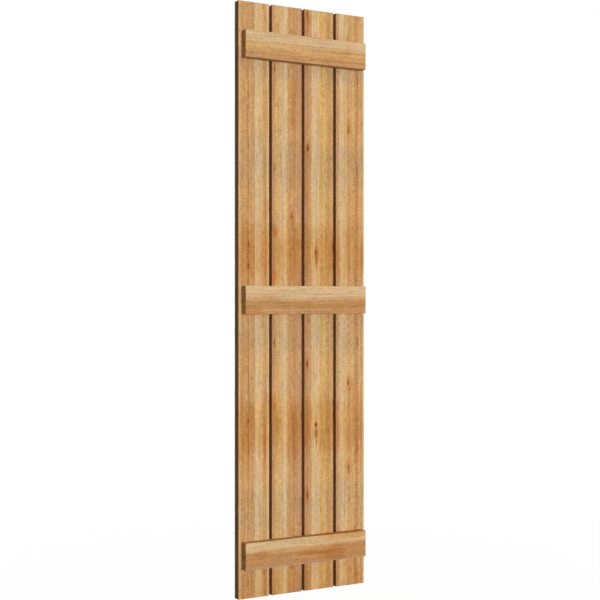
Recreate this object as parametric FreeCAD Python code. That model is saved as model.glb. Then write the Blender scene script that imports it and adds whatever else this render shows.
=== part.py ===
import FreeCAD
import Part
import os

# Board and batten shutter: upright sawn boards stand side by side with open gaps between them,
# and level battens lie across their fronts and hold them together.
# X runs along the shutter, to the right as seen from the front. Y runs into the wall. Z is up.
# The boards' backs lie on the wall plane, Y = 0. The origin is on that plane, at mid-height,
# in the middle of the back of the board named by origin_board.

# Driving dimensions, in millimetres
board_width = 88.9
board_thickness = 22.2
board_height = 1524.0
board_gap = 7.9
outer_batten_width = 70.0
middle_batten_width = 73.0
batten_thickness = 22.2
# From the side of the panel to each end of a batten
batten_end_inset = 9.0
# From the boards' ends to the near edge of the top and bottom battens
batten_end_margin = 76.2
# Rounding of the long edges of boards and battens
board_arris_radius = 1.2
batten_arris_radius = 1.2

# Boards in their order from left to right
board_names = ["left_outer_board", "left_inner_board", "right_inner_board", "right_outer_board"]
origin_board = "left_inner_board"

# Places that follow from the dimensions
board_pitch = board_width + board_gap
board_centres = {
    name: (place - board_names.index(origin_board)) * board_pitch
    for place, name in enumerate(board_names)
}
panel_left = min(board_centres.values()) - board_width / 2
panel_right = max(board_centres.values()) + board_width / 2
board_front = -board_thickness
outer_batten_height = board_height / 2 - batten_end_margin - outer_batten_width / 2

# Battens from top to bottom: name, height of the centre line and width
battens = [
    ("top_batten", outer_batten_height, outer_batten_width),
    ("middle_batten", 0.0, middle_batten_width),
    ("bottom_batten", -outer_batten_height, outer_batten_width),
]


def sawn_stick(width, thickness, length, arris_radius):
    """A length of sawn timber along Z, centred on the origin, with width along X and thickness along Y.
    Its four long edges are eased, and its ends are cut square."""
    half_width = width / 2
    half_thickness = thickness / 2
    corners = [
        FreeCAD.Vector(-half_width, -half_thickness, -length / 2),
        FreeCAD.Vector(half_width, -half_thickness, -length / 2),
        FreeCAD.Vector(half_width, half_thickness, -length / 2),
        FreeCAD.Vector(-half_width, half_thickness, -length / 2),
    ]
    section = Part.Face(Part.makePolygon(corners + corners[:1]))
    grain = FreeCAD.Vector(0, 0, length)
    stick = section.extrude(grain)
    arrises = [edge for edge in stick.Edges if edge.tangentAt(edge.FirstParameter).cross(grain).Length < 1e-6]
    return stick.makeFillet(arris_radius, arrises)


def upright_board(centre):
    """One board, standing with its back on the wall plane and its width centred at the given X."""
    board = sawn_stick(board_width, board_thickness, board_height, board_arris_radius)
    board.translate(FreeCAD.Vector(centre, board_front / 2, 0))
    return board


def level_batten(height, width):
    """One batten, lying across the fronts of all the boards with its centre line at the given Z."""
    length = panel_right - panel_left - 2 * batten_end_inset
    batten = sawn_stick(width, batten_thickness, length, batten_arris_radius)
    batten.rotate(FreeCAD.Vector(0, 0, 0), FreeCAD.Vector(0, 1, 0), 90)
    middle = FreeCAD.Vector((panel_left + panel_right) / 2, board_front - batten_thickness / 2, height)
    batten.translate(middle)
    return batten


def shutter():
    """Every piece of the shutter, by name."""
    pieces = {name: upright_board(centre) for name, centre in board_centres.items()}
    for name, height, width in battens:
        pieces[name] = level_batten(height, width)
    return pieces


os.makedirs("parts", exist_ok=True)
for name, piece in shutter().items():
    piece.exportStep(f"parts/{name}.step")
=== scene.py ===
import math
from functools import partial
from types import SimpleNamespace
import bpy
import bmesh
import numpy as np
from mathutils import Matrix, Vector
from mathutils.geometry import tessellate_polygon


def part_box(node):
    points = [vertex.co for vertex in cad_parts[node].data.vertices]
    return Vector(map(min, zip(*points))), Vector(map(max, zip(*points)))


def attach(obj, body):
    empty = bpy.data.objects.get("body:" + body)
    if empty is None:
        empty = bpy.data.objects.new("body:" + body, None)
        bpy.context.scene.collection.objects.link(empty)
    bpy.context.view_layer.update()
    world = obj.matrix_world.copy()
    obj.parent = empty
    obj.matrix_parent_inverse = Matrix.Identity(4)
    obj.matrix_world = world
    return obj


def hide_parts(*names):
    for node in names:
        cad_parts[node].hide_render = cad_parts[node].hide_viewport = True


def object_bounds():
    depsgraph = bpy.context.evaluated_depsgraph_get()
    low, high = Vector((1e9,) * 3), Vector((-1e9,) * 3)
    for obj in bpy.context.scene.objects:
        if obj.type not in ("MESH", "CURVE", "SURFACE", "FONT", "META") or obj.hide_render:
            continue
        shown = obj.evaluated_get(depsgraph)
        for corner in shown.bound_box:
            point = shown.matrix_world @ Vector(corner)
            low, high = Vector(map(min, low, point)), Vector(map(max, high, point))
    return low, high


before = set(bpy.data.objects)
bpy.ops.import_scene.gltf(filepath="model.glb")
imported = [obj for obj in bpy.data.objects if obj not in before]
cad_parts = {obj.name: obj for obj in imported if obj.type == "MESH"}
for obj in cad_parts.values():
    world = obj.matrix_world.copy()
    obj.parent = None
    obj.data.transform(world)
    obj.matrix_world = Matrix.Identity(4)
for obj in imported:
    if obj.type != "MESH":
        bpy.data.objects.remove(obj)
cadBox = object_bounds()
scene = bpy.context.scene
scene.view_settings.view_transform = "Standard"
mm = 0.001
print("frame loaded:", ", ".join(sorted(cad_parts)))


def linear(tone):
    # sRGB hex to linear RGBA
    parts = [int(tone[i:i + 2], 16) / 255 for i in (1, 3, 5)]
    return [c / 12.92 if c <= 0.04045 else ((c + 0.055) / 1.055) ** 2.4 for c in parts] + [1]


def addObject(name, data):
    made = bpy.data.objects.new(name, data)
    scene.collection.objects.link(made)
    return made


def addNode(tree, kind, feeds, operation=None, **settings):
    # feeds: input name or place -> a value, a node (its first output) or an output,
    # or several places -> as many of these
    node = tree.nodes.new(kind)
    if operation:
        node.operation = operation
    for name, value in settings.items():
        setattr(node, name, value)
    for places, values in feeds.items():
        for place, value in zip(places, values) if isinstance(places, tuple) else [(places, values)]:
            if isinstance(value, bpy.types.Node):
                value = value.outputs[0]
            if isinstance(value, bpy.types.NodeSocket):
                tree.links.new(value, node.inputs[place])
            else:
                node.inputs[place].default_value = value
    return node


def startGroup(name, family, inputs, outputs):
    # a node group with named sockets, what adds its nodes, and what it is given
    tree = bpy.data.node_groups.new(name, family + "NodeTree")
    for way, sockets in (("INPUT", inputs), ("OUTPUT", outputs)):
        for socket, kind in sockets.items():
            tree.interface.new_socket(socket, in_out=way, socket_type="NodeSocket" + kind)
    return tree, partial(addNode, tree), tree.nodes.new("NodeGroupInput").outputs


def bareTree(holder):
    # the emptied node tree of a new material or world
    holder.use_nodes = True
    holder.node_tree.nodes.clear()
    return holder.node_tree


def evaluateTree(tree, values, name):
    # runs a node tree on a bare object and keeps the result as a plain mesh at the origin
    carrier = addObject("carrier", bpy.data.meshes.new("carrier"))
    modifier = carrier.modifiers.new("build", "NODES")
    modifier.node_group = tree
    for item in tree.interface.items_tree:
        if item.in_out == "INPUT" and item.name in values:
            modifier[item.identifier] = values[item.name]
    ready = carrier.evaluated_get(bpy.context.evaluated_depsgraph_get())
    mesh = bpy.data.meshes.new_from_object(ready)
    bpy.data.objects.remove(carrier)
    mesh.name = name
    return addObject(name, mesh)


# shorthand for node kinds
calc = "ShaderNodeMath"
vector = "ShaderNodeVectorMath"
split = "ShaderNodeSeparateXYZ"
merge = "ShaderNodeCombineXYZ"
noise = "ShaderNodeTexNoise"
remap = "ShaderNodeMapRange"  # 0 what it reads, 1 and 2 its range, 3 and 4 the range it gives
blend = "ShaderNodeMix"  # colours: 0 factor, 6 and 7 the two tones, output 2
smooth = {"interpolation_type": "SMOOTHSTEP"}
noiseRoughness = 0.55
noiseRange = (0.3, 0.7)  # most of a noise's values lie between these


# Screws driven from the back, two through each board into each batten
screws = {
    "pairSpread": 44.0 * mm,  # between the two at a crossing, across the board
    "stagger": 22.0 * mm,  # and along it, so that they don't split one grain line
    "headWidth": 8.4 * mm,
    "headDepth": 3.0 * mm,
    "headRim": 0.25 * mm,  # upright rim above the countersink
    "shankWidth": 4.2 * mm,
    "length": 38.0 * mm,
    "tipLength": 6.0 * mm,
    "tipWidth": 0.8 * mm,
    "sunk": 0.3 * mm,  # head below the board's back
    "recessReach": 2.5 * mm,  # cross recess, centre to tip
    "recessWidth": 1.1 * mm,
    "recessDepth": 1.6 * mm,
    "recessTaper": 0.55,  # size of its floor to that of its mouth
    "sides": 24,
    "sharpness": math.radians(30),
    "seed": 4,
}
boardNodes = ["left_outer_board", "left_inner_board", "right_inner_board", "right_outer_board"]
battenNodes = ["top_batten", "middle_batten", "bottom_batten"]


def screwPlaces():
    # points on the wall plane, the pairs slanting in turn
    places = []
    for column, board in enumerate(boardNodes):
        low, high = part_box(board)
        for row, batten in enumerate(battenNodes):
            middle = sum(corner.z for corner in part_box(batten)) / 2
            lean = 1 if (column + row) % 2 else -1
            for side in (-1, 1):
                across = (low.x + high.x) / 2 + side * screws["pairSpread"] / 2
                places.append((across, high.y, middle + lean * side * screws["stagger"] / 2))
    return places


def pointCloud(name, points):
    mesh = bpy.data.meshes.new(name)
    mesh.from_pydata(points, [], [])
    return addObject(name, mesh)


screwPoints = pointCloud("screwPoints", screwPlaces())


# Sawn timber: a stick with eased arrises, saw ripple and torn fibres, cut into the surface.
# The fibres are drawn coarser than real ones, so that they show in the mesh.
timberMesh = {
    "steps": (2.5 * mm, 2.5 * mm, 3.0 * mm),  # between its cuts across, through and along
    "sharpness": math.radians(50),
    "dippedFrom": 0.5,  # knots with a core darker than this have a dip
    "noDip": (0.0, 0.0, 10.0),  # a point too far off to dip anything
}
timberRelief = {  # inputs of the node tree
    "Arris": 0.7 * mm,
    "Crowding": 0.75,  # how far the cuts gather towards the arrises
    "Saw Pitch": 11.0 * mm,
    "Saw Depth": 0.2 * mm,
    "Saw Bend": 9.0,  # how far the saw lines bend, in radians of the ripple
    "Bends per Pitch": 0.15,
    "Fuzz Size": 5.0 * mm,
    "Fuzz Stretch": 5.0,  # length to width of a torn fibre
    "Fuzz Depth": 0.3 * mm,
    "Wander Size": 130.0 * mm,
    "Wander Depth": 0.18 * mm,
    "Knot Dip": 0.4 * mm,
    "Knot Reach": 4.0 * mm,
    "Knot Stretch": 4.0,  # length to width of the dip at a knot
    "Seat Depth": 0.5 * mm,  # wood crushed under a screw head
    "Seat Core": screws["headWidth"] / 2,
    "Seat Reach": 7.0 * mm,
}


def makeTimberTree():
    tree, add, given = startGroup("sawnTimber", "Geometry", {
        **dict.fromkeys(("Width", "Thickness", "Length", "Seed", *timberRelief), "Float"),
        **dict.fromkeys(("Cuts Across", "Cuts Through", "Cuts Along"), "Int"),
        "Knots": "Object", "Screws": "Object", "Place": "Vector", "Turn": "Vector", "Finish": "Material",
    }, {"Timber": "Geometry"})
    tree.is_modifier = True
    perUnit = {key: add(calc, {0: 1.0, 1: given[key]}, "DIVIDE")
               for key in ("Fuzz Size", "Fuzz Stretch", "Wander Size", "Knot Stretch")}

    def gapTo(points, sample):
        info = add("GeometryNodeObjectInfo", {"Object": given[points]})
        nearest = add("GeometryNodeProximity", {
            0: info.outputs["Geometry"], "Sample Position": sample}, target_element="POINTS")
        return nearest.outputs["Distance"]

    size = add(merge, {0: given["Width"], 1: given["Thickness"], 2: given["Length"]})
    block = add("GeometryNodeMeshCube", {
        "Size": size, "Vertices X": given["Cuts Across"], "Vertices Y": given["Cuts Through"],
        "Vertices Z": given["Cuts Along"]})

    # gather the cuts towards the arrises, then round the four long edges
    place = add("GeometryNodeInputPosition", {})
    half = add(vector, {0: size, "Scale": 0.5}, "SCALE")
    share = add(vector, {0: place, 1: half}, "DIVIDE")
    quarter = add(vector, {0: share, "Scale": math.pi / 2}, "SCALE")
    bowed = add(vector, {0: quarter}, "SINE")
    crowd = add(merge, {0: given["Crowding"], 1: given["Crowding"], 2: 0.0})
    gathered = add(blend, {1: crowd, 4: share, 5: bowed}, data_type="VECTOR", factor_mode="NON_UNIFORM")
    spread = add(vector, {0: gathered.outputs[1], 1: half}, "MULTIPLY")
    ease = add(merge, {0: given["Arris"], 1: given["Arris"], 2: 0.0})
    inner = add(vector, {0: half, 1: ease}, "SUBTRACT")
    outer = add(vector, {0: inner, "Scale": -1.0}, "SCALE")
    lowered = add(vector, {0: spread, 1: inner}, "MINIMUM")
    core = add(vector, {0: lowered, 1: outer}, "MAXIMUM")
    past = add(vector, {0: spread, 1: core}, "SUBTRACT")
    pastSize = add(vector, {0: past}, "ABSOLUTE")
    pastParts = add(split, {0: pastSize})
    reach = add(calc, {0: pastParts.outputs[0], 1: pastParts.outputs[1]}, "MAXIMUM")
    span = add(vector, {0: past}, "LENGTH")
    spanSafe = add(calc, {0: span.outputs["Value"], 1: 1e-7}, "MAXIMUM")
    pull = add(calc, {0: reach, 1: spanSafe}, "DIVIDE")
    rounded = add(vector, {0: past, "Scale": pull}, "SCALE")
    eased = add(vector, {0: core, 1: rounded}, "ADD")
    stick = add("GeometryNodeSetPosition", {"Geometry": block, "Position": eased})

    # saw ripple across the grain, its lines bent a little
    shifted = add(vector, {0: place, 1: given["Seed"]}, "ADD")
    perBend = add(calc, {0: given["Bends per Pitch"], 1: given["Saw Pitch"]}, "DIVIDE")
    bend = add(noise, {"Vector": shifted, "Scale": perBend, "Detail": 1.0})
    perPitch = add(calc, {0: 2 * math.pi, 1: given["Saw Pitch"]}, "DIVIDE")
    turns = add(calc, {0: add(split, {0: place}).outputs[2], 1: perPitch}, "MULTIPLY")
    phase = add(calc, {0: bend, 1: given["Saw Bend"], 2: turns}, "MULTIPLY_ADD")
    ripple = add(calc, {0: phase}, "SINE")
    rippleUp = add(calc, {0: ripple, 1: 0.5, 2: 0.5}, "MULTIPLY_ADD")
    sawCut = add(calc, {0: rippleUp, 1: given["Saw Depth"]}, "MULTIPLY")

    # torn fibres and the slow wander of a sawn face
    drawnOut = add(merge, {0: 1.0, 1: 1.0, 2: perUnit["Fuzz Stretch"]})
    fibres = add(vector, {0: shifted, 1: drawnOut}, "MULTIPLY")
    torn = add(noise, {"Vector": fibres, "Scale": perUnit["Fuzz Size"], "Detail": 2.0})
    fuzzCut = add(remap, {0: torn, (1, 2): noiseRange, (3, 4): (0.0, given["Fuzz Depth"])})
    tornCut = add(calc, {0: fuzzCut, 1: sawCut}, "ADD")
    wander = add(noise, {"Vector": shifted, "Scale": perUnit["Wander Size"], "Detail": 0.0})
    sawn = add(calc, {0: wander, 1: given["Wander Depth"], 2: tornCut}, "MULTIPLY_ADD")

    # dips at the knots, drawn out along the grain, through the whole thickness
    flat = add(merge, {0: 1.0, 1: 0.0, 2: perUnit["Knot Stretch"]})
    flatPlace = add(vector, {0: place, 1: flat}, "MULTIPLY")
    knotCut = add(remap, {
        0: gapTo("Knots", flatPlace),
        (1, 2): (0.0, given["Knot Reach"]), (3, 4): (given["Knot Dip"], 0.0)}, **smooth)
    cut = add(calc, {0: sawn, 1: knotCut}, "ADD")

    normal = add("GeometryNodeInputNormal", {})
    inward = add(calc, {0: cut, 1: -1.0}, "MULTIPLY")
    push = add(vector, {0: normal, "Scale": inward}, "SCALE")
    rough = add("GeometryNodeSetPosition", {"Geometry": stick, "Offset": push})
    laid = add("GeometryNodeTransform", {
        "Geometry": rough, "Translation": given["Place"], "Rotation": given["Turn"]})

    # seats of the screw heads in the back
    seat = add(calc, {0: given["Seat Depth"], 1: -1.0}, "MULTIPLY")
    crushed = add(remap, {
        0: gapTo("Screws", place),
        (1, 2): (given["Seat Core"], given["Seat Reach"]), (3, 4): (seat, 0.0)}, **smooth)
    press = add(vector, {0: normal, "Scale": crushed}, "SCALE")
    seated = add("GeometryNodeSetPosition", {"Geometry": laid, "Offset": press})

    whole = add("GeometryNodeRealizeInstances", {"Geometry": seated})
    dressed = add("GeometryNodeSetMaterial", {"Geometry": whole, "Material": given["Finish"]})
    add("NodeGroupOutput", {"Timber": dressed})
    return tree


timberTree = makeTimberTree()


def readAll(items, field, width, kind):
    # one field of every vertex, face or face corner, in rows of this width
    values = np.empty(len(items) * width, kind)
    items.foreach_get(field, values)
    return values.reshape(-1, width)


def layStrips(mesh, turn, shift, size):
    # UV map: one strip for each long face, side by side, and both ends in a row below them
    width, thickness, length = size
    corners = readAll(mesh.loops, "vertex_index", 1, np.int32)[:, 0]
    spots = readAll(mesh.vertices, "co", 3, np.float32)
    normals = readAll(mesh.polygons, "normal", 3, np.float32)
    counts = readAll(mesh.polygons, "loop_total", 1, np.int32)[:, 0]
    fromSide, fromFront, fromFoot = (spots @ turn.T + shift)[corners].T
    facing = np.repeat(normals @ turn.T, counts, axis=0)
    main = np.abs(facing).argmax(axis=1)
    ahead = np.take_along_axis(facing, main[:, None], 1)[:, 0] > 0

    # shares of the map: the bare rim of each strip, and the row of the ends
    margin = 0.006
    endRow = 0.05
    around = 2 * (width + thickness)
    strips = [  # facing axis, sign, place across the strip, its start and its width
        (1, False, fromSide, 0, width),
        (1, True, fromSide, width, width),
        (0, False, fromFront, 2 * width, thickness),
        (0, True, fromFront, 2 * width + thickness, thickness),
    ]
    mapAcross = np.zeros(len(corners))
    mapUp = endRow + margin + (1 - endRow - 2 * margin) * fromFoot / length
    for axis, sign, place, start, stripWidth in strips:
        mine = (main == axis) & (ahead == sign)
        share = margin * around + (stripWidth - 2 * margin * around) * place / stripWidth
        mapAcross[mine] = ((start + share) / around)[mine]
    for sign, start in ((False, margin), (True, 0.5 + margin)):
        mine = (main == 2) & (ahead == sign)
        mapAcross[mine] = (start + (0.5 - 2 * margin) * fromSide / width)[mine]
        mapUp[mine] = (margin + (endRow - 2 * margin) * fromFront / thickness)[mine]
    strip = mesh.uv_layers.new(name="OFBake")
    strip.data.foreach_set("uv", np.stack([mapAcross, mapUp], 1).astype(np.float32).ravel())


# Cedar, sawn and left bare: warm tan heartwood with cream, straw and rosy streaks along the grain,
# brown knots in orange halos, a dull torn face, sawn edges darkened with painted shade and close arcs of
# end grain
cedar = {
    "cream": "#d3b287",
    "pale": "#ceab7d",
    "straw": "#d0a86f",
    "gold": "#cba165",
    "flax": "#cda470",
    "corn": "#d0a867",
    "sand": "#ca9e6b",
    "fawn": "#c19667",
    "tan": "#c39462",
    "honey": "#bd8d5a",
    "umber": "#b68756",
    "rose": "#c19269",
    "mauve": "#ba9170",
    "ember": "#f3cfa4",  # laid over the tones where the wood is warmer
    "toast": "#ecd5b4",  # where a whole stretch is browner
    "glow": "#fce9cc",  # and the same in pale wood
    "ashAndShade": "#f0f5ff",  # where it has greyed, and as painted shade below the top and middle battens
    "lateWood": "#d2bb9b",  # laid over them along the growth rings
    "fleck": "#c4a98a",  # and in the torn pores
    "knotHeart": "#a66c36",
    "knotCore": "#683a15",
    "blush": "#b07858",  # beside some knots
    "endGrain": "#a97a4a",
}
tones = {name: linear(tone) for name, tone in cedar.items()}
cedarFinish = {
    "roughness": (0.92, 0.78),  # from the hollows of the nap to its tops
    "napRange": (0.2, 0.8),
    "shine": 0.12,
    "ior": 1.5,
    "bump": 0.8,
}
# lighter, redder and yellower, as steps of red, green and blue
toneWays = [Vector((0.85, 1.0, 1.2)), Vector((0.45, -0.45, 0.0)), Vector((0.05, 0.05, -0.9))]
# millimetres across and along the grain, how far the tone swings in those three ways, millimetres of
# height, and whether it comes from tearing; nap and fibre are drawn coarser than real, so that they show
grain = {
    "cloud": (26, 60, (0.42, 0.3, 0.46), 0, False),
    "mottle": (9, 16, (0.42, 0.28, 0.26), 0, True),
    "streak": (4, 170, (0.6, 0.05, 0.08), 0, False),
    "fibre": (1.2, 40, (0.32, 0, 0), 0.12, False),
    "nap": (2.8, 3, (1.02, 0.02, 0.02), 0.35, True),
    "saw": (16, 2.6, (0.6, 0, 0), 0.15, True),
}
growth = {  # millimetres, where it isn't a share
    "seedStep": 811.0,  # from one piece's stretch of the patterns to the next
    "wanderWide": 120.0,
    "swayLong": 110.0,
    "swayWide": 30.0,
    "swayBy": 1.6,
    "bandMargin": 10.0,  # how far the tone bands run on past the sides
    "ringGap": 6.0,
    "ringDrift": 22.0,  # over which the rings crowd and spread
    "ringDriftBy": 7.0,  # and by how many rings
    "lateWood": (0.35, 0.92),  # share of a ring where it starts and where it is darkest
    "lateHeight": 0.05,
    "arcDepth": 0.35,  # how much darker it is on a cut end
    "fleckWide": 2.4,
    "fleckLong": 16.0,
    "fleckRange": (0.54, 0.74),  # noise from sound wood to an open pore
    "fleckShare": 0.55,
    "cleanCut": 0.72,  # share of the tear left in pale wood
    "breakUp": (0.5, 1.2),  # how the mottle breaks up a warmer stretch
    "frontFadeDepth": (2.0, 14.0),  # behind the front, where browner and greyer wood and the painted shade below the battens fade
    "frontFadeLeft": 0.35,  # to this share
    "lift": (1.107, 1.107, 1.076),  # makes up for what the rings and flecks take
}
knotFall = {  # knot sizes from its middle, where a tone is full and where it ends, and what says how deep
    "Halo": (0.3, 2.8, "Depth"),
    "Heart": (0.3, 1.5, "Depth"),
    "Core": (0.1, 1.1, "Dark"),
}
knotFlow = (0.0, 5.0)  # and the same for the grain that bends round it
# millimetres: width and length of the waves in a mark's outline, and how far they stray across and along
ragged = {
    "knots": (3, 8, 2.6, 7),
    "stains": (14, 40, 12, 45),
    "toasted": (7, 90, 10, 120),
    "greyedAndShaded": (14, 40, 12, 45),
    "blushed": (3, 6, 2.6, 4),
}
sawnEdge = {  # millimetres
    "sides": (0.6, 0.9),  # from a side, where its tone ends
    "faces": (0.7, 1.3),  # from the front and back, where it starts
    "ends": (0.6, 1.0),  # from an end, where the end grain's tone ends
    "fade": (2.0, 12.0),  # behind the front, where it goes over to edgeFade
    "gapShadeBlur": 0.3,
}


def makeKnotGroup():
    # how near a point is to one knot: pointed along the grain, which flows round it
    tree, add, given = startGroup("cedarKnot", "Shader", {
        "Timber": "Vector", "Knot": "Vector",
        **dict.fromkeys(("Half Width", "Half Length", "Depth", "Dark"), "Float"),
    }, dict.fromkeys(("Push", *knotFall), "Float"))
    away = add(split, {0: add(vector, {0: given["Timber"], 1: given["Knot"]}, "SUBTRACT")})
    aside = add(calc, {0: away.outputs[0]}, "ABSOLUTE")
    asideShare = add(calc, {0: aside, 1: given["Half Width"]}, "DIVIDE")
    alongShare = add(calc, {0: away.outputs[2], 1: given["Half Length"]}, "DIVIDE")
    alongSquare = add(calc, {0: alongShare, 1: alongShare}, "MULTIPLY")
    gap = add(calc, {0: asideShare, 1: alongSquare}, "ADD")
    falls = {kind: add(remap, {0: gap, (1, 2): reach, (3, 4): (given[most], 0.0)}, **smooth)
             for kind, (*reach, most) in knotFall.items()}
    flow = add(remap, {0: gap, (1, 2): knotFlow, (3, 4): (1.0, 0.0)}, **smooth)
    soft = add(calc, {0: aside, 1: given["Half Width"]}, "ADD")
    sideways = add(calc, {0: away.outputs[0], 1: soft}, "DIVIDE")
    sidePush = add(calc, {0: sideways, 1: given["Half Width"]}, "MULTIPLY")
    push = add(calc, {0: sidePush, 1: flow}, "MULTIPLY")
    add("NodeGroupOutput", {"Push": push, **falls})
    return tree


knotGroup = makeKnotGroup()


def startCedar(name, piece, size, shift, unturn):
    # what the steps below share: places in millimetres across, behind the front and along the grain
    material = bpy.data.materials.new("sawnCedar-" + name)
    add = partial(addNode, bareTree(material))
    wood = SimpleNamespace(material=material, add=add, piece=piece)
    wood.width, wood.thickness, wood.length = (side / mm for side in size)
    spot = add("ShaderNodeTexCoord", {})
    wood.timber = add("ShaderNodeMapping", {
        "Vector": spot.outputs["Object"], "Scale": (1 / mm,) * 3, "Location": shift / mm,
        "Rotation": unturn})
    wood.across, wood.behind, wood.along = add(split, {0: wood.timber}).outputs
    # each piece has its own stretch of every pattern
    wood.slant = add(calc, {0: wood.along, 1: piece["slope"]}, "MULTIPLY")
    leaning = add(merge, {0: wood.slant, 1: 0.0, 2: piece["seed"] * growth["seedStep"]})
    wood.own = add(vector, {0: wood.timber, 1: leaning}, "ADD")
    return wood


def pattern(wood, wide, long, detail):
    # noise drawn out along the grain, features of this size in millimetres
    drawn = wood.add(vector, {0: wood.own, 1: (1 / wide, 1 / wide, 1 / long)}, "MULTIPLY")
    return wood.add(noise, {"Vector": drawn, "Scale": 1.0, "Detail": detail, "Roughness": noiseRoughness})


def spotted(wood, kind):
    # sideways push, halo, heart and core of all the marks of one kind together, with ragged outlines
    add = wood.add
    wide, long, strayAcross, strayAlong = ragged[kind]
    waves = pattern(wood, wide, long, 2.0).outputs["Color"]
    offset = add(vector, {0: waves, 1: (0.5, 0.5, 0.5)}, "SUBTRACT")
    where = add(vector, {0: offset, 1: (strayAcross, 0.0, strayAlong), 2: wood.timber}, "MULTIPLY_ADD")
    whole = [add("ShaderNodeValue", {}) for _ in range(4)]
    ways = ("ADD", "MAXIMUM", "MAXIMUM", "MAXIMUM")
    for across, along, halfWidth, halfLength, depth, *dark in wood.piece[kind]:
        mark = add("ShaderNodeGroup", {
            "Timber": where, "Knot": (across, 0.0, along), "Half Width": halfWidth,
            "Half Length": halfLength, "Depth": depth, "Dark": sum(dark)}, node_tree=knotGroup)
        whole = [add(calc, {0: old, 1: new}, way) for old, new, way in zip(whole, mark.outputs, ways)]
    return whole


def pithRadius(wood, push):
    # distance from the tree's pith, which wanders along the log and bends round the knots
    add = wood.add
    wanderBy, wanderLong = wood.piece["wander"]
    wander = pattern(wood, growth["wanderWide"], wanderLong, 1.5)
    sway = add(calc, {0: wander, 1: 2 * wanderBy, 2: -wanderBy - growth["swayBy"]}, "MULTIPLY_ADD")
    nearSway = pattern(wood, growth["swayWide"], growth["swayLong"], 1.0)
    sway = add(calc, {0: nearSway, 1: 2 * growth["swayBy"], 2: sway}, "MULTIPLY_ADD")
    bent = add(calc, {0: sway, 1: push}, "SUBTRACT")
    pithAcross, pithDeep = wood.piece["pith"]
    besidePith = add(calc, {0: wood.across, 1: -pithAcross}, "ADD")
    fromPith = add(calc, {0: besidePith, 1: bent}, "ADD")
    behindPith = add(calc, {0: wood.behind, 1: -pithDeep}, "ADD")
    section = add(merge, {0: fromPith, 1: behindPith, 2: 0.0})
    return add(vector, {0: section}, "LENGTH").outputs["Value"]


def toneBands(wood, radius):
    # streaks of tone by distance from the pith, as they lie across the front face
    pithAcross, pithDeep = wood.piece["pith"]

    def radiusAt(across):
        return math.hypot(across - pithAcross, pithDeep)

    first, last = radiusAt(-growth["bandMargin"]), radiusAt(wood.width + growth["bandMargin"])
    fraction = wood.add(remap, {0: radius, (1, 2): (first, last)})
    bands = wood.add("ShaderNodeValToRGB", {0: fraction})
    places = wood.piece["bands"]
    stops = bands.color_ramp.elements
    while len(stops) < len(places):
        stops.new(1.0)
    ordered = sorted(((radiusAt(across) - first) / (last - first), tone) for across, tone in places)
    for stop, (share, tone) in zip(stops, ordered):
        stop.position = share
        stop.color = tones[tone]
    return bands.outputs[0]


def toneSwing(wood, textures, tear):
    # swings of tone of every size, from clouds down to the torn nap
    add = wood.add
    swing = None
    for kind, (_, _, reach, _, isTorn) in grain.items():
        shares = add(split, {0: textures[kind].outputs["Color"]})
        steps = [way * by for way, by in zip(toneWays, reach)]
        tint = Vector((1, 1, 1)) - sum(steps, Vector()) / 2
        for share, step in zip(shares.outputs, steps):
            tint = add(vector, {0: share, 1: step, 2: tint}, "MULTIPLY_ADD")
        if isTorn:
            tint = add(blend, {0: tear, 4: (1, 1, 1), 5: tint}, data_type="VECTOR").outputs[1]
        swing = add(vector, {0: swing, 1: tint}, "MULTIPLY") if swing else tint
    return add(vector, {0: swing, 1: growth["lift"]}, "MULTIPLY")


def lateWoodShare(wood, radius):
    # growth rings, unevenly spaced
    add = wood.add
    slow = add(calc, {0: radius, 1: 1 / growth["ringDrift"]}, "MULTIPLY")
    drift = add(noise, {"W": slow, "Scale": 1.0, "Detail": 2.0}, noise_dimensions="1D")
    ringRadius = add(calc, {0: radius, 1: wood.slant}, "ADD")
    ringCount = add(calc, {0: ringRadius, 1: 1 / growth["ringGap"]}, "MULTIPLY")
    ringPlace = add(calc, {0: drift, 1: growth["ringDriftBy"], 2: ringCount}, "MULTIPLY_ADD")
    ring = add(calc, {0: ringPlace}, "FRACT")
    start, peak = growth["lateWood"]
    rise = add(remap, {0: ring, (1, 2): (start, peak)}, **smooth)
    fall = add(remap, {0: ring, (1, 2): (peak, 1.0), (3, 4): (1.0, 0.0)}, **smooth)
    return add(calc, {0: rise, 1: fall}, "MULTIPLY")


def edgeGap(wood, place, span):
    # millimetres to the nearer of two opposite faces
    far = wood.add(calc, {0: span, 1: place}, "SUBTRACT")
    return wood.add(calc, {0: place, 1: far}, "MINIMUM")


def sideToneAndShadeMask(wood):
    # the sawn sides, their tone darkened as painted shade, fading behind the front by edgeFade and lapping
    # round the first arris by gapShadeLap
    add, piece = wood.add, wood.piece
    sideGap, faceGap = edgeGap(wood, wood.across, wood.width), edgeGap(wood, wood.behind, wood.thickness)
    side = add(remap, {0: sideGap, (1, 2): sawnEdge["sides"], (3, 4): (piece["edgeShare"], 0.0)})
    face = add(remap, {0: faceGap, (1, 2): sawnEdge["faces"]})
    mask = add(calc, {0: side, 1: face}, "MULTIPLY")
    depth = add(remap, {0: wood.behind, (1, 2): sawnEdge["fade"], (3, 4): (1.0, piece["edgeFade"])})
    mask = add(calc, {0: mask, 1: depth}, "MULTIPLY")
    gapShadeReach = (piece["gapShadeLap"] - sawnEdge["gapShadeBlur"], piece["gapShadeLap"] + sawnEdge["gapShadeBlur"])
    gapShade = add(remap, {0: wood.across, (1, 2): gapShadeReach, (3, 4): (piece["edgeShare"], 0.0)})
    return add(calc, {0: mask, 1: gapShade}, "MAXIMUM")


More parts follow.
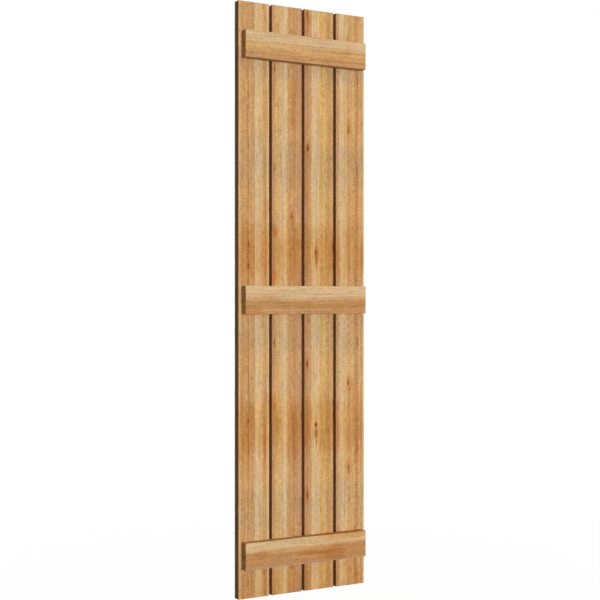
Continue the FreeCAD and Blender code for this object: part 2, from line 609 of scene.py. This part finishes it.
def makeCedar(name, piece, size, shift, unturn):
    wood = startCedar(name, piece, size, shift, unturn)
    add = wood.add
    push, halo, heart, core = spotted(wood, "knots")
    stain, toasted, greyedAndShaded, blush = (
        spotted(wood, kind)[1] for kind in ("stains", "toasted", "greyedAndShaded", "blushed"))
    frontFade = add(remap, {
        0: wood.behind, (1, 2): growth["frontFadeDepth"], (3, 4): (1.0, growth["frontFadeLeft"])})
    toasted, greyedAndShaded = (add(calc, {0: mask, 1: frontFade}, "MULTIPLY") for mask in (toasted, greyedAndShaded))
    radius = pithRadius(wood, push)
    bands = toneBands(wood, radius)
    lateWood = lateWoodShare(wood, radius)

    # the pale wood is cut cleaner than the heartwood
    blue = add(split, {0: bands}).outputs[2]
    pale = add(remap, {0: blue, (1, 2): (tones["sand"][2], tones["cream"][2])})
    tornRange = (piece["torn"], growth["cleanCut"] * piece["torn"])
    tear = add(remap, {0: pale, (3, 4): tornRange})
    textures = {kind: pattern(wood, wide, long, 2.0) for kind, (wide, long, *_) in grain.items()}
    swing = toneSwing(wood, textures, tear)

    # laid over the bands in turn: warmer wood, broken up by the mottle, browner and greyer stretches with
    # painted shade below the battens, latewood and torn pores
    broken = add(remap, {0: textures["mottle"], (1, 2): noiseRange, (3, 4): growth["breakUp"]})
    blotch = add(calc, {0: stain, 1: broken}, "MULTIPLY")
    warm = add(calc, {0: blotch, 1: halo}, "MAXIMUM", use_clamp=True)
    ringMask = add(calc, {0: lateWood, 1: piece["rings"]}, "MULTIPLY")
    pores = pattern(wood, growth["fleckWide"], growth["fleckLong"], 1.0)
    opened = add(remap, {
        0: pores, (1, 2): growth["fleckRange"], (3, 4): (0.0, growth["fleckShare"])}, **smooth)
    fleckMask = add(calc, {0: opened, 1: tear}, "MULTIPLY")
    toast = add(blend, {0: pale, 6: tones["toast"], 7: tones["glow"]}, data_type="RGBA").outputs[2]
    toned = bands
    for mask, tone in ((warm, tones["ember"]), (toasted, toast), (greyedAndShaded, tones["ashAndShade"]),
                       (ringMask, tones["lateWood"]), (fleckMask, tones["fleck"])):
        toned = add(blend, {0: mask, 6: toned, 7: tone}, data_type="RGBA", blend_type="MULTIPLY").outputs[2]

    # knots, sawn edges browned with painted shade, and cut ends with the rings as dark arcs
    endGap = edgeGap(wood, wood.along, wood.length)
    endMask = add(remap, {0: endGap, (1, 2): sawnEdge["ends"], (3, 4): (1.0, 0.0)})
    ringArc = add(calc, {0: lateWood, 1: -growth["arcDepth"], 2: 1.0}, "MULTIPLY_ADD")
    arcTone = add(vector, {0: tones["endGrain"][:3], "Scale": ringArc}, "SCALE")
    for mask, tone in ((heart, tones["knotHeart"]), (core, tones["knotCore"]),
                       (blush, tones["blush"]), (sideToneAndShadeMask(wood), linear(piece["edgeToneAndShade"])),
                       (endMask, arcTone)):
        toned = add(blend, {0: mask, 6: toned, 7: tone}, data_type="RGBA").outputs[2]
    finished = add(vector, {0: toned, 1: swing}, "MULTIPLY")

    # height in millimetres: proud latewood, fibres, torn nap and saw marks
    relief = add(calc, {0: lateWood, 1: growth["lateHeight"]}, "MULTIPLY")
    for kind, (*_, height, _) in grain.items():
        if height:
            relief = add(calc, {0: textures[kind], 1: height, 2: relief}, "MULTIPLY_ADD")
    bump = add("ShaderNodeBump", {"Height": relief, "Distance": mm, "Strength": cedarFinish["bump"]})
    dull = add(remap, {
        0: textures["nap"], (1, 2): cedarFinish["napRange"], (3, 4): cedarFinish["roughness"]})
    surface = add("ShaderNodeBsdfPrincipled", {
        "Base Color": finished, "Roughness": dull, "Specular IOR Level": cedarFinish["shine"],
        "IOR": cedarFinish["ior"], "Normal": bump})
    add("ShaderNodeOutputMaterial", {"Surface": surface})
    return wood.material


def makeTimber(name, piece):
    low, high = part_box(piece["node"])
    span = high - low
    if piece["lies"] == "upright":
        size = tuple(span)
        turn, shift = np.eye(3), np.array(-low)
        lean, seatDepth = 0.0, timberRelief["Seat Depth"]
    else:  # width runs down from the upper edge, length to the right, and no screw head shows
        size = (span.z, span.y, span.x)
        turn = np.array([[0, 0, -1], [0, 1, 0], [1, 0, 0]])
        shift = np.array([high.z, -low.y, -low.x])
        lean, seatDepth = math.pi / 2, 0.0
    squeeze = 1 / timberRelief["Knot Stretch"]
    dips = [(across * mm - size[0] / 2, 0.0, (along * mm - size[2] / 2) * squeeze)
            for across, along, *_, dark in piece["knots"] if dark > timberMesh["dippedFrom"]]
    knotPoints = pointCloud("knotPoints", dips or [timberMesh["noDip"]])
    cuts = [round(side / step) + 1 for side, step in zip(size, timberMesh["steps"])]
    made = evaluateTree(timberTree, {
        **timberRelief, "Seat Depth": seatDepth, "Knots": knotPoints, "Screws": screwPoints,
        "Width": size[0], "Thickness": size[1], "Length": size[2],
        "Cuts Across": cuts[0], "Cuts Through": cuts[1], "Cuts Along": cuts[2],
        "Place": tuple((low + high) / 2), "Turn": (0.0, lean, 0.0), "Seed": float(piece["seed"]),
        "Finish": makeCedar(name, piece, size, shift, (0.0, -lean, 0.0)),
    }, name)
    bpy.data.objects.remove(knotPoints)
    made.data.shade_smooth()
    made.data.set_sharp_from_angle(angle=timberMesh["sharpness"])
    layStrips(made.data, turn, shift, size)
    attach(made, "root")
    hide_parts(piece["node"])
    print(name, "sawn:", len(made.data.polygons), "faces")


# Boards, left to right, then battens, top to bottom, in millimetres along their own grain: across runs
# from a board's left edge or a batten's upper edge, along runs up from the foot or right from the left end.
# bands: place across and the tone there.
# knots: place across and along, half width, half length, depth of the heart's tone and of the core's.
# stains, toasted, greyedAndShaded, blushed: the same for warmer, browner, greyer and redder wood, without a
# core; on the boards greyedAndShaded also holds painted shade below the top and middle battens.
# pith: where the middle of the log lay, across and behind the front.
# wander: how far the pith strays, and over what length. slope: how far the grain runs out per length.
# rings: depth of the latewood's tone. torn: how rough the face is. seed: its stretch of every pattern.
# edgeToneAndShade, edgeShare, edgeFade: tone of the sawn sides with painted shade in it, how well it
# covers, what is left of it in depth.
# gapShadeLap: how far that tone laps round the first arris as painted shade beside a gap, negative where it
# doesn't.
boardCommon = {
    "slot": "cedar_board", "lies": "upright",
    "slope": 0.0, "wander": (1.6, 420), "rings": 0.16, "torn": 1.0, "gapShadeLap": -1.0, "edgeFade": 1.0,
    # the first and third are painted shade below the top and middle battens, the others greyer wood
    "greyedAndShaded": [
        (44, 1370, 120, 26, 1), (44, 1120, 120, 44, 0.7), (44, 680, 120, 44, 0.75),
        (44, 225, 120, 40, 0.55)],
    "blushed": [],
}

leftOuterBoard = {
    **boardCommon, "node": "left_outer_board", "seed": 3, "pith": (-62, 48),
    # its sides are painted dark brown as shade, much darker than the other boards' edges
    "edgeToneAndShade": "#6f4c2c", "edgeShare": 0.95,
    # the pale band up to 4 mm in from the left edge is a painted highlight along the left arris
    "bands": [
        (-4, "pale"), (4, "pale"), (6.5, "sand"), (9.5, "tan"), (14, "tan"), (19.5, "sand"), (24, "tan"),
        (26.5, "tan"), (28, "honey"), (29.5, "honey"), (31, "sand"), (35, "sand"), (38.5, "fawn"),
        (46, "fawn"), (48, "cream"), (57, "cream"), (60.5, "pale"), (65, "pale"), (68, "flax"),
        (70.5, "flax"), (72.5, "sand"), (77, "fawn"), (81.5, "sand"), (84, "pale"), (86, "cream"),
        (94, "cream")],
    "knots": [
        (28.5, 905, 3, 11, 0.8, 0.9), (28.5, 849, 2.8, 10, 0.75, 0.8), (28.2, 878, 1, 70, 0.45, 0.4),
        (28.5, 1290, 0.9, 34, 0.35, 0.35), (28.5, 1146, 0.9, 40, 0.35, 0.35),
        (29, 1056, 0.9, 30, 0.4, 0.45), (28.5, 575, 0.9, 110, 0.3, 0.25), (28, 451, 3.2, 9, 0.8, 0.72),
        (28.5, 395, 1, 60, 0.45, 0.3), (74, 63, 2.6, 12, 0.4, 0.3)],
    "stains": [
        (15, 912, 6, 22, 0.25), (34, 895, 5, 14, 0.25), (80, 1235, 4, 50, 0.6), (80, 1000, 4, 30, 0.7),
        (82, 900, 4, 70, 0.5), (80, 505, 4, 26, 0.8), (76, 380, 3, 60, 0.9), (12, 380, 10, 60, 0.3),
        (28, 451, 8, 20, 0.3), (12, 570, 10, 90, 0.2), (78, 50, 6, 40, 0.4)],
    "toasted": [
        (44, 882, 120, 60, 0.76), (44, 431, 120, 51, 0.76), (44, 0, 120, 55, 0.55), (47, 882, 5, 60, 1)],
    "blushed": [(20, 898, 4, 7, 0.3), (34, 894, 4, 5, 0.3), (28, 444, 5, 5, 0.3)],
}
makeTimber("leftOuterBoard", leftOuterBoard)

leftInnerBoard = {
    **boardCommon, "node": "left_inner_board", "seed": 5, "pith": (-70, 40),
    # its left front arris is painted with the side tone for 0.9 mm: painted shade that widens the gap
    # beside it
    "edgeToneAndShade": "#a77a47", "edgeShare": 0.8, "gapShadeLap": 0.9,
    "bands": [
        (-5, "tan"), (-3, "mauve"), (2, "mauve"), (5.5, "tan"), (9.5, "tan"), (11.5, "straw"),
        (14.5, "straw"), (16.5, "gold"), (19, "gold"), (21, "straw"), (26, "pale"), (31, "pale"),
        (33, "cream"), (42, "cream"), (44.5, "pale"), (46.5, "sand"), (51, "tan"), (60, "tan"),
        (63.5, "honey"), (68, "honey"), (71, "tan"), (76, "rose"), (81, "rose"), (83.5, "mauve"),
        (94, "mauve")],
    "knots": [
        (8, 1360, 2.2, 12, 0.45, 0.45), (6.6, 1103, 1.6, 14, 0.6, 0.7), (6, 1090, 1.2, 10, 0.5, 0.5),
        (59, 980, 2.6, 8, 0.8, 0.65), (60, 1237, 1, 14, 0.45, 0.45), (7.4, 650, 1.8, 12, 0.6, 0.6),
        (60, 68, 2.4, 8, 0.65, 0.55), (88.5, 898, 2, 22, 0.6, 0.5), (88.5, 853, 1.6, 8, 0.5, 0.4),
        (88.5, 486, 1.6, 14, 0.5, 0.4), (88.5, 457, 1.6, 12, 0.5, 0.4)],
    "stains": [
        (60, 975, 5, 16, 0.8), (8, 939, 6, 12, 0.9), (64, 860, 6, 60, 0.2), (62, 1227, 7, 16, 0.6),
        (64, 1290, 8, 50, 0.4), (6, 819, 6, 18, 0.9), (9, 501, 6, 20, 0.8), (66, 440, 5, 60, 0.45),
        (68, 370, 6, 60, 0.4)],
    "toasted": [
        (44, 882, 120, 60, 0.72), (44, 431, 120, 51, 0.8), (44, 0, 120, 55, 0.55), (36, 882, 10, 60, 1),
        (20, 440, 14, 40, 1)],
}
makeTimber("leftInnerBoard", leftInnerBoard)

rightInnerBoard = {
    **boardCommon, "node": "right_inner_board", "seed": 8, "pith": (-58, 52),
    # its left front arris is painted with the side tone for 1.5 mm: painted shade that widens the gap
    # beside it
    "edgeToneAndShade": "#96693a", "edgeShare": 0.8, "gapShadeLap": 1.5,
    "bands": [
        (-5, "umber"), (-3, "mauve"), (3, "mauve"), (7, "umber"), (10.5, "umber"), (12.5, "tan"),
        (19.5, "tan"), (21.5, "pale"), (24, "cream"), (41, "cream"), (44.5, "pale"), (48.5, "straw"),
        (51.5, "gold"), (53.5, "gold"), (57.5, "corn"), (62, "corn"), (65.5, "gold"), (68.5, "tan"),
        (77, "tan"), (80.5, "sand"), (84, "fawn"), (94, "fawn")],
    "knots": [
        (9, 1509, 2.6, 12, 0.9, 0.75), (10, 1493, 4.2, 9, 0.5, 0), (10.3, 1160, 4.2, 14, 0.85, 0.85),
        (12, 1140, 1.4, 14, 0.45, 0.25), (37, 882, 6.5, 24, 0.9, 0.25), (34.6, 886, 2, 14, 0.95, 0.95),
        (37, 862, 1.2, 26, 0.75, 0.65), (37, 905, 1, 20, 0.5, 0.4), (9, 595, 3.2, 15, 0.85, 0.85),
        (10, 716, 1.2, 12, 0.45, 0.45), (35.5, 434, 4.2, 10, 0.85, 0.95), (36, 411, 4.6, 13, 0.85, 0.4),
        (37, 394, 1.2, 22, 0.6, 0.45), (36, 455, 1.2, 14, 0.5, 0.45), (9.2, 250, 3.2, 14, 0.9, 0.9),
        (88, 900, 2.2, 20, 0.8, 0.7), (88, 853, 1.8, 8, 0.7, 0.5), (88, 488, 1.8, 14, 0.7, 0.5),
        (88, 455, 2, 14, 0.7, 0.6)],
    "stains": [
        (6, 1055, 6, 40, 0.5), (10, 1135, 6, 24, 0.35), (6, 920, 6, 70, 0.1), (80, 882, 5, 24, 0.5),
        (9, 590, 6, 26, 0.45), (9, 252, 7, 24, 0.55), (6, 430, 6, 60, 0.6), (36, 885, 9, 34, 0.5),
        (12, 1503, 7, 12, 0.6)],
    "toasted": [(44, 882, 120, 60, 0.74), (44, 431, 120, 51, 0.8), (44, 0, 120, 55, 0.5)],
    "blushed": [(40, 877, 3, 6, 0.5), (37, 423, 3.8, 5, 0.55)],
}
makeTimber("rightInnerBoard", rightInnerBoard)

rightOuterBoard = {
    **boardCommon, "node": "right_outer_board", "seed": 13, "pith": (-74, 44),
    "edgeToneAndShade": "#8c663a", "edgeShare": 0.85,
    "bands": [
        (-5, "sand"), (-3, "mauve"), (4, "mauve"), (9, "sand"), (12, "pale"), (15, "cream"), (23, "cream"),
        (26, "pale"), (32.5, "pale"), (36, "sand"), (44.5, "sand"), (47.5, "flax"), (53, "flax"),
        (56, "sand"), (60, "tan"), (63, "honey"), (66, "honey"), (69, "tan"), (72, "sand"), (74.5, "flax"),
        (76.5, "flax"), (78.5, "fawn"), (81.5, "fawn"), (83.5, "pale"), (86, "cream"), (94, "cream")],
    "knots": [
        (68, 1356, 1.6, 26, 0.45, 0.35), (40, 1217, 3, 13, 0.9, 0.25), (38.4, 1217, 1.1, 10, 0.7, 0.5),
        (68, 1105, 1.6, 22, 0.5, 0.35), (69, 652, 2.2, 16, 0.6, 0.55), (38.8, 541, 4, 12, 0.75, 0.5),
        (43, 523, 3.4, 6, 0.6, 0.35), (66, 360, 3, 12, 0.6, 0.35), (40, 310, 3, 15, 0.65, 0.45),
        (36, 322, 1.5, 6, 0.45, 0.25), (42, 230, 1.8, 8, 0.4, 0.3), (64, 27, 2.6, 12, 0.45, 0.35),
        (38, 1460, 1.8, 12, 0.35, 0.2)],
    "stains": [
        (42, 1222, 6, 26, 0.8), (44, 1160, 7, 70, 0.3), (55, 1010, 16, 70, 0.3), (62, 886, 13, 30, 0.2),
        (40, 905, 5, 80, 0.4), (41, 535, 7, 24, 0.6), (40, 315, 7, 24, 0.7), (68, 350, 6, 24, 0.7),
        (75, 700, 10, 50, 0.3), (44, 350, 120, 50, 0.2), (44, 1255, 120, 50, 0.15)],
    "toasted": [
        (44, 882, 120, 60, 0.56), (44, 431, 120, 51, 0.74), (44, 2, 120, 58, 0.6), (62, 886, 12, 36, 0.6),
        (10, 882, 9, 60, 0.95), (84, 882, 8, 60, 1), (62, 840, 9, 20, 0.4), (60, 475, 14, 50, 0.5),
        (64, 415, 11, 30, 0.6)],
    "blushed": [(43, 305, 3, 6, 0.3)],
}
makeTimber("rightOuterBoard", rightOuterBoard)

battenCommon = {
    "slot": "cedar_batten", "lies": "level",
    "pith": (-60, 60), "torn": 0.9, "toasted": [], "blushed": [],
    # on the battens' upper and lower faces this tone lies in a band along the front and fades out behind
    # it: painted shade along the battens' edges
    "edgeToneAndShade": "#8f6838", "edgeShare": 0.95, "gapShadeLap": -1.0, "edgeFade": 0.0,
}

topBatten = {
    **battenCommon, "node": "top_batten", "seed": 21,
    "slope": 0.018, "wander": (3, 190), "rings": 0.32,
    "bands": [
        (-4, "pale"), (3, "cream"), (21, "cream"), (25, "straw"), (29.5, "pale"), (33, "gold"),
        (37.5, "straw"), (46, "sand"), (51, "sand"), (54, "tan"), (58, "honey"), (62, "tan"), (66, "rose"),
        (74, "rose")],
    "knots": [(33, 150, 0.5, 60, 0.2, 0.1)],
    "stains": [(46, 300, 12, 90, 0.2)],
    "greyedAndShaded": [(35, 180, 60, 240, 0.3)],
}
makeTimber("topBatten", topBatten)

middleBatten = {
    **battenCommon, "node": "middle_batten", "seed": 26,
    "slope": 0.0, "wander": (4, 160), "rings": 0.26,
    "bands": [
        (-4, "pale"), (4, "cream"), (32, "cream"), (36, "sand"), (39, "tan"), (44, "tan"), (48, "honey"),
        (51, "umber"), (56, "honey"), (61, "tan"), (66, "honey"), (70, "rose"), (77, "rose")],
    "knots": [(34.5, 144, 0.9, 5, 0.5, 0.4)],
    "stains": [(44, 160, 5, 50, 0.4), (54, 300, 14, 80, 0.3), (66, 20, 8, 30, 0.5), (40, 352, 6, 16, 0.5)],
    "toasted": [(32, 68, 8, 34, 0.6), (38, 40, 6, 60, 0.3)],
    "greyedAndShaded": [(35, 180, 60, 240, 0.3), (39, 68, 10, 44, 1)],
}
makeTimber("middleBatten", middleBatten)

bottomBatten = {
    **battenCommon, "node": "bottom_batten", "seed": 33,
    "slope": -0.02, "wander": (4, 150), "rings": 0.26,
    "bands": [
        (-4, "sand"), (1.5, "pale"), (5, "cream"), (20, "cream"), (23.5, "pale"), (25.5, "sand"),
        (30, "tan"), (34, "tan"), (38, "honey"), (43, "umber"), (48, "honey"), (53, "honey"), (58, "honey"),
        (62, "umber"), (67, "mauve"), (74, "mauve")],
    "knots": [(56, 150, 1.4, 12, 0.4, 0.3)],
    "stains": [
        (47, 255, 16, 36, 0.6), (38, 300, 16, 90, 0.3), (3, 262, 7, 40, 0.8), (4, 325, 7, 50, 0.8),
        (33, 45, 6, 14, 0.6), (40, 190, 6, 30, 0.5)],
    "toasted": [(50, 258, 14, 26, 0.35), (4, 262, 7, 44, 0.25), (4, 325, 7, 50, 0.45)],
    "greyedAndShaded": [(35, 180, 60, 240, 0.2)],
}
makeTimber("bottomBatten", bottomBatten)


# Wood screw, zinc plated: bright steel dulled to a soft grey, with a countersunk head and a cross recess
zinc = {
    "dark": "#85827a",
    "light": "#a8a498",
    "cloudSize": 2.5 * mm,
    "roughness": (0.62, 0.48),  # in the dark clouds and in the light ones
}


def makeZinc():
    material = bpy.data.materials.new("zincPlatedSteel")
    add = partial(addNode, bareTree(material))
    spot = add("ShaderNodeTexCoord", {})
    cloud = add(noise, {"Vector": spot.outputs["Object"], "Scale": 1 / zinc["cloudSize"], "Detail": 3.0})
    tone = add(blend, {0: cloud, 6: linear(zinc["dark"]), 7: linear(zinc["light"])}, data_type="RGBA")
    dull = add(remap, {0: cloud, (1, 2): noiseRange, (3, 4): zinc["roughness"]})
    surface = add("ShaderNodeBsdfPrincipled", {
        "Base Color": tone.outputs[2], "Metallic": 1.0, "Roughness": dull})
    add("ShaderNodeOutputMaterial", {"Surface": surface})
    return material


def circle(width, height):
    turns = [2 * math.pi * i / screws["sides"] for i in range(screws["sides"])]
    return [(width / 2 * math.cos(turn), width / 2 * math.sin(turn), height) for turn in turns]


def makeScrewShape():
    # one screw, its head up at z 0 and its shank down
    sides = screws["sides"]
    profile = [  # width and height of each ring below the face
        (screws["headWidth"], -screws["headRim"]),
        (screws["shankWidth"], -screws["headDepth"]),
        (screws["shankWidth"], screws["tipLength"] - screws["length"]),
        (screws["tipWidth"], -screws["length"]),
    ]
    reach, wide, taper = screws["recessReach"], screws["recessWidth"] / 2, screws["recessTaper"]
    arm = [(wide, reach), (wide, wide), (reach, wide)]
    cross = [(x * c - y * s, x * s + y * c) for c, s in ((1, 0), (0, -1), (-1, 0), (0, 1)) for x, y in arm]
    spots = circle(screws["headWidth"], 0.0) + [(x, y, 0.0) for x, y in cross]
    outlines = [[Vector(spot) for spot in outline] for outline in (spots[:sides], spots[sides:])]
    faces = [list(face) for face in tessellate_polygon(outlines)]
    lowest = len(spots)
    spots += [(x * taper, y * taper, -screws["recessDepth"]) for x, y in cross]
    count = len(cross)
    for i in range(count):
        j = (i + 1) % count
        faces.append([sides + i, sides + j, lowest + j, lowest + i])
    faces.append([lowest + i for i in range(count)])
    above = list(range(sides))
    for width, height in profile:
        ring = list(range(len(spots), len(spots) + sides))
        spots += circle(width, height)
        for i in range(sides):
            j = (i + 1) % sides
            faces.append([above[i], above[j], ring[j], ring[i]])
        above = ring
    faces.append(above)
    mesh = bpy.data.meshes.new("screwShape")
    mesh.from_pydata(spots, [], faces)
    shape = bmesh.new()
    shape.from_mesh(mesh)
    bmesh.ops.recalc_face_normals(shape, faces=shape.faces)
    shape.to_mesh(mesh)
    shape.free()
    return addObject("screwShape", mesh)


def makeScrewTree():
    tree, add, given = startGroup("backScrews", "Geometry", {
        "Places": "Object", "Screw": "Object", "Sunk": "Float", "Seed": "Int", "Finish": "Material"},
        {"Screws": "Geometry"})
    tree.is_modifier = True
    places = add("GeometryNodeObjectInfo", {"Object": given["Places"]})
    shape = add("GeometryNodeObjectInfo", {"Object": given["Screw"]})
    depth = add(calc, {0: given["Sunk"], 1: -1.0}, "MULTIPLY")
    drop = add(merge, {0: 0.0, 1: depth, 2: 0.0})
    sunk = add("GeometryNodeSetPosition", {"Geometry": places.outputs["Geometry"], "Offset": drop})
    # heads face the wall, each turned as the driver left it
    spin = add("FunctionNodeRandomValue", {2: 0.0, 3: math.pi / 2, "Seed": given["Seed"]},
               data_type="FLOAT")
    facing = add(merge, {0: -math.pi / 2, 1: 0.0, 2: 0.0})
    driven = add(merge, {0: 0.0, 1: 0.0, 2: spin.outputs[1]})
    turned = add("FunctionNodeRotateEuler", {"Rotation": facing, "Rotate By": driven},
                 rotation_type="EULER", space="LOCAL")
    placed = add("GeometryNodeInstanceOnPoints", {
        "Points": sunk, "Instance": shape.outputs["Geometry"], "Rotation": turned})
    whole = add("GeometryNodeRealizeInstances", {"Geometry": placed})
    dressed = add("GeometryNodeSetMaterial", {"Geometry": whole, "Material": given["Finish"]})
    add("NodeGroupOutput", {"Screws": dressed})
    return tree


screwShape = makeScrewShape()
backScrews = evaluateTree(makeScrewTree(), {
    "Places": screwPoints, "Screw": screwShape, "Sunk": screws["sunk"], "Seed": screws["seed"],
    "Finish": makeZinc()}, "backScrews")
backScrews.data.shade_smooth()
backScrews.data.set_sharp_from_angle(angle=screws["sharpness"])
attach(backScrews, "root")
bpy.data.objects.remove(screwShape)
print("backScrews driven:", len(screwPoints.data.vertices))
bpy.data.objects.remove(screwPoints)


# Studio: a pale floor under the shutter, white beyond it, a level key light and a broad back light
studio = {
    "floorReach": 40.0,
    "floorTone": "#b4b4b4",  # what the shutter sees of it
    "floorSeen": "#f3f3f3",  # and what the lens sees
    "floorWhite": (0.97, 1.0),  # share of plain white over that, at the shutter and away from it
    "floorFade": (0.3, 1.6),  # metres from the shutter
    "ambient": 0.4,
    "lampAway": 6.0,
    # degrees round to the right from the front, above level and across
    "key": {"turn": 2.0, "rise": 2.2, "spread": 4.0, "strength": 1.9},
    "back": {"turn": 135.0, "rise": 22.0, "spread": 40.0, "strength": 3.2},
}
white = linear("#ffffff")
shutterLow, shutterHigh = cadBox
shutterMiddle = (shutterLow + shutterHigh) / 2


def seenRays(add):
    # rays that show the floor or the sky itself: from the lens, mirrored or through glass
    path = add("ShaderNodeLightPath", {}).outputs
    mirrored = add(calc, {0: path["Is Camera Ray"], 1: path["Is Glossy Ray"]}, "MAXIMUM")
    return add(calc, {0: mirrored, 1: path["Is Transmission Ray"]}, "MAXIMUM")


def makeFloor():
    reach = studio["floorReach"]
    mesh = bpy.data.meshes.new("studioFloor")
    corners = [(x * reach, y * reach, shutterLow.z) for x, y in ((-1, -1), (1, -1), (1, 1), (-1, 1))]
    mesh.from_pydata(corners, [], [(0, 1, 2, 3)])
    floor = addObject("studioFloor", mesh)
    material = bpy.data.materials.new("paleStudioFloor")
    add = partial(addNode, bareTree(material))
    spot = add("ShaderNodeTexCoord", {})
    foot = (shutterMiddle.x, 0.0, shutterLow.z)
    fromFoot = add(vector, {0: spot.outputs["Object"], 1: foot}, "DISTANCE").outputs["Value"]
    whiter = add(remap, {0: fromFoot, (1, 2): studio["floorFade"], (3, 4): studio["floorWhite"]}, **smooth)
    seen = seenRays(add)
    share = add(calc, {0: seen, 1: whiter}, "MULTIPLY")
    shown = add(blend, {0: seen, 6: linear(studio["floorTone"]), 7: linear(studio["floorSeen"])},
                data_type="RGBA")
    matt = add("ShaderNodeBsdfDiffuse", {"Color": shown.outputs[2]})
    bright = add("ShaderNodeEmission", {"Color": white})
    mixed = add("ShaderNodeMixShader", {0: share, 1: matt, 2: bright})
    add("ShaderNodeOutputMaterial", {"Surface": mixed})
    mesh.materials.append(material)


def makeSky():
    scene.world = bpy.data.worlds.new("studioWhite")
    add = partial(addNode, bareTree(scene.world))
    seen = add("ShaderNodeBackground", {"Color": white})
    lit = add("ShaderNodeBackground", {"Color": white, "Strength": studio["ambient"]})
    mixed = add("ShaderNodeMixShader", {0: seenRays(add), 1: lit, 2: seen})
    add("ShaderNodeOutputWorld", {"Surface": mixed})


def makeLamp(name, look):
    # a far lamp that shines on the middle of the shutter
    lamp = bpy.data.lights.new(name, "SUN")
    lamp.energy = look["strength"]
    lamp.angle = math.radians(look["spread"])
    holder = addObject(name, lamp)
    turn, rise = math.radians(look["turn"]), math.radians(look["rise"])
    way = Vector((math.sin(turn) * math.cos(rise), -math.cos(turn) * math.cos(rise), math.sin(rise)))
    holder.location = shutterMiddle + studio["lampAway"] * way
    holder.rotation_euler = (-way).to_track_quat("-Z", "Y").to_euler()


makeFloor()
makeSky()
makeLamp("keyLight", studio["key"])
makeLamp("backLight", studio["back"])
print("studio lit")

# Camera: level with the middle of the shutter, 30 degrees round to its left
camera = {
    "turn": math.radians(29.95),
    "fromLeftEdge": (-1.4282, -2.7917),  # right and back from the panel's front left edge
    "lens": 73.98,  # on the usual 36 mm sensor
    "sees": 100.0,
}
lens = bpy.data.cameras.new("photoCamera")
lens.lens = camera["lens"]
lens.clip_end = camera["sees"]
stand = addObject("photoCamera", lens)
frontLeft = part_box("left_outer_board")[0]
right, back = camera["fromLeftEdge"]
stand.location = (frontLeft.x + right, frontLeft.y + back, shutterMiddle.z)
stand.rotation_euler = (math.pi / 2, 0, -camera["turn"])
scene.camera = stand
print("camera set")
